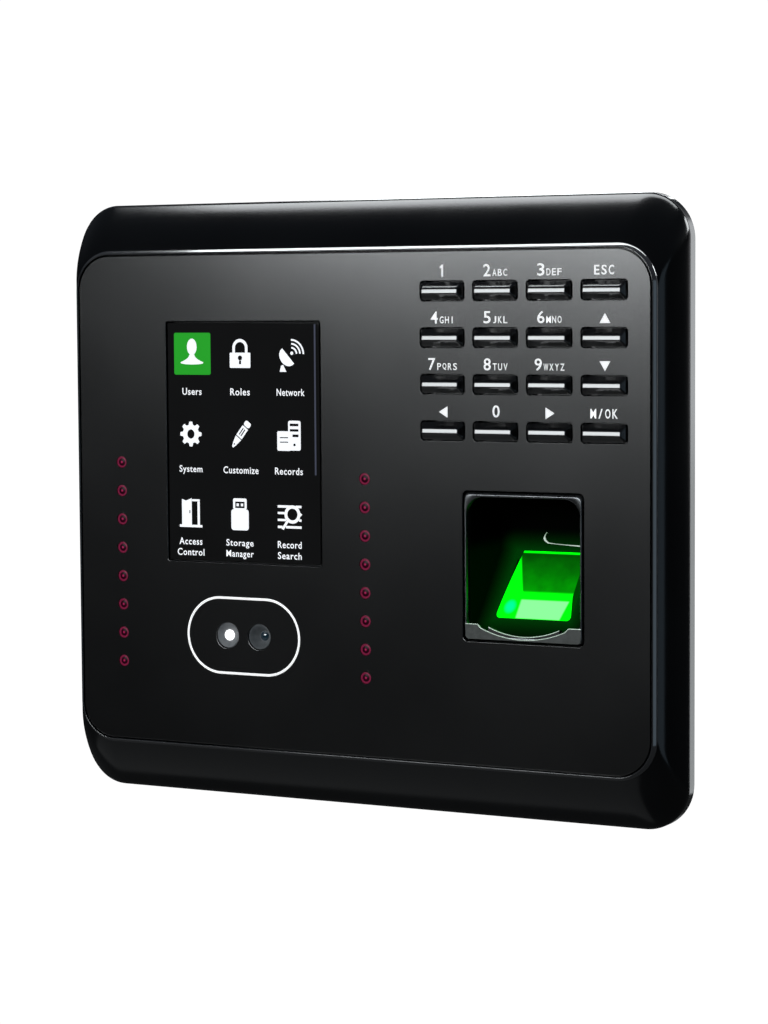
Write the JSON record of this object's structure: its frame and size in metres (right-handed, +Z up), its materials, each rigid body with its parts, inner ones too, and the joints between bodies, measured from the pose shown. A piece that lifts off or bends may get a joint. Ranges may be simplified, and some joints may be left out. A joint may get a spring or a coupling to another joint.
{
  "type": "fingerprint scanner terminal",
  "caption": "Wall-mounted access terminal with a colour screen, keypad, face camera, infrared lights and a lit fingerprint well, on a steel bracket.",
  "frame": {"origin": "centre of the wall bracket's back face, on the wall, level with the centre of the housing", "axes": "+X to the right as seen from the front, +Z up, +Y into the wall; the front of the terminal looks along -Y"},
  "size_m": [0.1676, 0.034, 0.1488],
  "materials": {
    "housing_plastic": "black moulded plastic, satin gloss",
    "face_black": "black face plate, satin gloss",
    "window_glass": "smoked clear acrylic",
    "grey_rubber": "soft silicone and foam",
    "display_dark": "display module face",
    "plain_metal": "tinned sheet metal",
    "white_trim": "white inlaid line",
    "barrel_grey": "grey moulded plastic",
    "lens_glass": "coated lens glass",
    "board_green": "green circuit board",
    "dark_red_lens": "dark red light lens",
    "bezel_metal": "satin metal frame",
    "well_black": "polished black plastic",
    "prism_green": "glass prism lit green from below",
    "lit_green": "green lights on a board",
    "chip_black": "black moulded plastic",
    "relay_blue": "blue relay case",
    "terminal_green": "green terminal plastic",
    "ivory_plastic": "ivory plastic",
    "bracket_steel": "zinc-plated sheet steel",
    "screw_steel": "plated screw steel",
    "key_black": "gloss black key"
  },
  "bodies": {
    "terminal": {"front_shell": "housing_plastic", "rear_cover": "housing_plastic", "face_plate": "face_black", "screen_window": "window_glass", "screen_gasket": "grey_rubber", "lcd_panel": "display_dark", "lcd_frame": "plain_metal", "camera_ring": "white_trim", "lens_barrel_left": "barrel_grey", "lens_barrel_right": "barrel_grey", "camera_lenses": "lens_glass", "camera_board": "board_green", "led_board_left": "board_green", "led_board_right": "board_green", "infrared_leds_left": "dark_red_lens", "infrared_leds_right": "dark_red_lens", "sensor_bezel": "bezel_metal", "sensor_housing": "well_black", "sensor_prism": "prism_green", "sensor_light": "lit_green", "sensor_imager": "board_green", "keypad_mat": "grey_rubber", "keypad_board": "board_green", "main_board": "board_green", "board_chips": "chip_black", "lock_relay": "relay_blue", "network_jack": "plain_metal", "usb_port": "plain_metal", "power_jack": "chip_black", "terminal_block": "terminal_green", "backup_battery": "plain_metal", "battery_holder": "chip_black", "speaker": "chip_black", "buzzer": "chip_black", "tamper_switch": "chip_black", "ribbon_cables": "ivory_plastic", "wall_bracket": "bracket_steel", "case_screws": "screw_steel", "board_screws": "screw_steel", "security_screw": "screw_steel"},
    "key_1": {"key_1": "key_black"},
    "key_2": {"key_2": "key_black"},
    "key_3": {"key_3": "key_black"},
    "key_escape": {"key_escape": "key_black"},
    "key_4": {"key_4": "key_black"},
    "key_5": {"key_5": "key_black"},
    "key_6": {"key_6": "key_black"},
    "key_up": {"key_up": "key_black"},
    "key_7": {"key_7": "key_black"},
    "key_8": {"key_8": "key_black"},
    "key_9": {"key_9": "key_black"},
    "key_down": {"key_down": "key_black"},
    "key_left": {"key_left": "key_black"},
    "key_0": {"key_0": "key_black"},
    "key_right": {"key_right": "key_black"},
    "key_menu": {"key_menu": "key_black"},
    "tamper_plunger": {"tamper_plunger": "ivory_plastic"},
    "reset_button": {"reset_button": "barrel_grey"}
  },
  "joints": [
    {"name": "key_1_press", "type": "slide", "parent": "terminal", "child": "key_1", "axis": [0, 1, 0], "range_m": [0, 0.0007], "stiffness_N_per_m": 1500, "springref_m": -0.0004, "deforming": ["keypad_mat"]},
    {"name": "key_2_press", "type": "slide", "parent": "terminal", "child": "key_2", "axis": [0, 1, 0], "range_m": [0, 0.0007], "stiffness_N_per_m": 1500, "springref_m": -0.0004, "deforming": ["keypad_mat"]},
    {"name": "key_3_press", "type": "slide", "parent": "terminal", "child": "key_3", "axis": [0, 1, 0], "range_m": [0, 0.0007], "stiffness_N_per_m": 1500, "springref_m": -0.0004, "deforming": ["keypad_mat"]},
    {"name": "key_escape_press", "type": "slide", "parent": "terminal", "child": "key_escape", "axis": [0, 1, 0], "range_m": [0, 0.0007], "stiffness_N_per_m": 1500, "springref_m": -0.0004, "deforming": ["keypad_mat"]},
    {"name": "key_4_press", "type": "slide", "parent": "terminal", "child": "key_4", "axis": [0, 1, 0], "range_m": [0, 0.0007], "stiffness_N_per_m": 1500, "springref_m": -0.0004, "deforming": ["keypad_mat"]},
    {"name": "key_5_press", "type": "slide", "parent": "terminal", "child": "key_5", "axis": [0, 1, 0], "range_m": [0, 0.0007], "stiffness_N_per_m": 1500, "springref_m": -0.0004, "deforming": ["keypad_mat"]},
    {"name": "key_6_press", "type": "slide", "parent": "terminal", "child": "key_6", "axis": [0, 1, 0], "range_m": [0, 0.0007], "stiffness_N_per_m": 1500, "springref_m": -0.0004, "deforming": ["keypad_mat"]},
    {"name": "key_up_press", "type": "slide", "parent": "terminal", "child": "key_up", "axis": [0, 1, 0], "range_m": [0, 0.0007], "stiffness_N_per_m": 1500, "springref_m": -0.0004, "deforming": ["keypad_mat"]},
    {"name": "key_7_press", "type": "slide", "parent": "terminal", "child": "key_7", "axis": [0, 1, 0], "range_m": [0, 0.0007], "stiffness_N_per_m": 1500, "springref_m": -0.0004, "deforming": ["keypad_mat"]},
    {"name": "key_8_press", "type": "slide", "parent": "terminal", "child": "key_8", "axis": [0, 1, 0], "range_m": [0, 0.0007], "stiffness_N_per_m": 1500, "springref_m": -0.0004, "deforming": ["keypad_mat"]},
    {"name": "key_9_press", "type": "slide", "parent": "terminal", "child": "key_9", "axis": [0, 1, 0], "range_m": [0, 0.0007], "stiffness_N_per_m": 1500, "springref_m": -0.0004, "deforming": ["keypad_mat"]},
    {"name": "key_down_press", "type": "slide", "parent": "terminal", "child": "key_down", "axis": [0, 1, 0], "range_m": [0, 0.0007], "stiffness_N_per_m": 1500, "springref_m": -0.0004, "deforming": ["keypad_mat"]},
    {"name": "key_left_press", "type": "slide", "parent": "terminal", "child": "key_left", "axis": [0, 1, 0], "range_m": [0, 0.0007], "stiffness_N_per_m": 1500, "springref_m": -0.0004, "deforming": ["keypad_mat"]},
    {"name": "key_0_press", "type": "slide", "parent": "terminal", "child": "key_0", "axis": [0, 1, 0], "range_m": [0, 0.0007], "stiffness_N_per_m": 1500, "springref_m": -0.0004, "deforming": ["keypad_mat"]},
    {"name": "key_right_press", "type": "slide", "parent": "terminal", "child": "key_right", "axis": [0, 1, 0], "range_m": [0, 0.0007], "stiffness_N_per_m": 1500, "springref_m": -0.0004, "deforming": ["keypad_mat"]},
    {"name": "key_menu_press", "type": "slide", "parent": "terminal", "child": "key_menu", "axis": [0, 1, 0], "range_m": [0, 0.0007], "stiffness_N_per_m": 1500, "springref_m": -0.0004, "deforming": ["keypad_mat"]},
    {"name": "tamper_plunger_press", "type": "slide", "parent": "terminal", "child": "tamper_plunger", "axis": [0, -1, 0], "range_m": [0, 0.001], "stiffness_N_per_m": 400, "springref_m": -0.001},
    {"name": "reset_button_press", "type": "slide", "parent": "terminal", "child": "reset_button", "axis": [0, 0, 1], "range_m": [0, 0.0005], "stiffness_N_per_m": 2500, "springref_m": -0.0004}
  ]
}
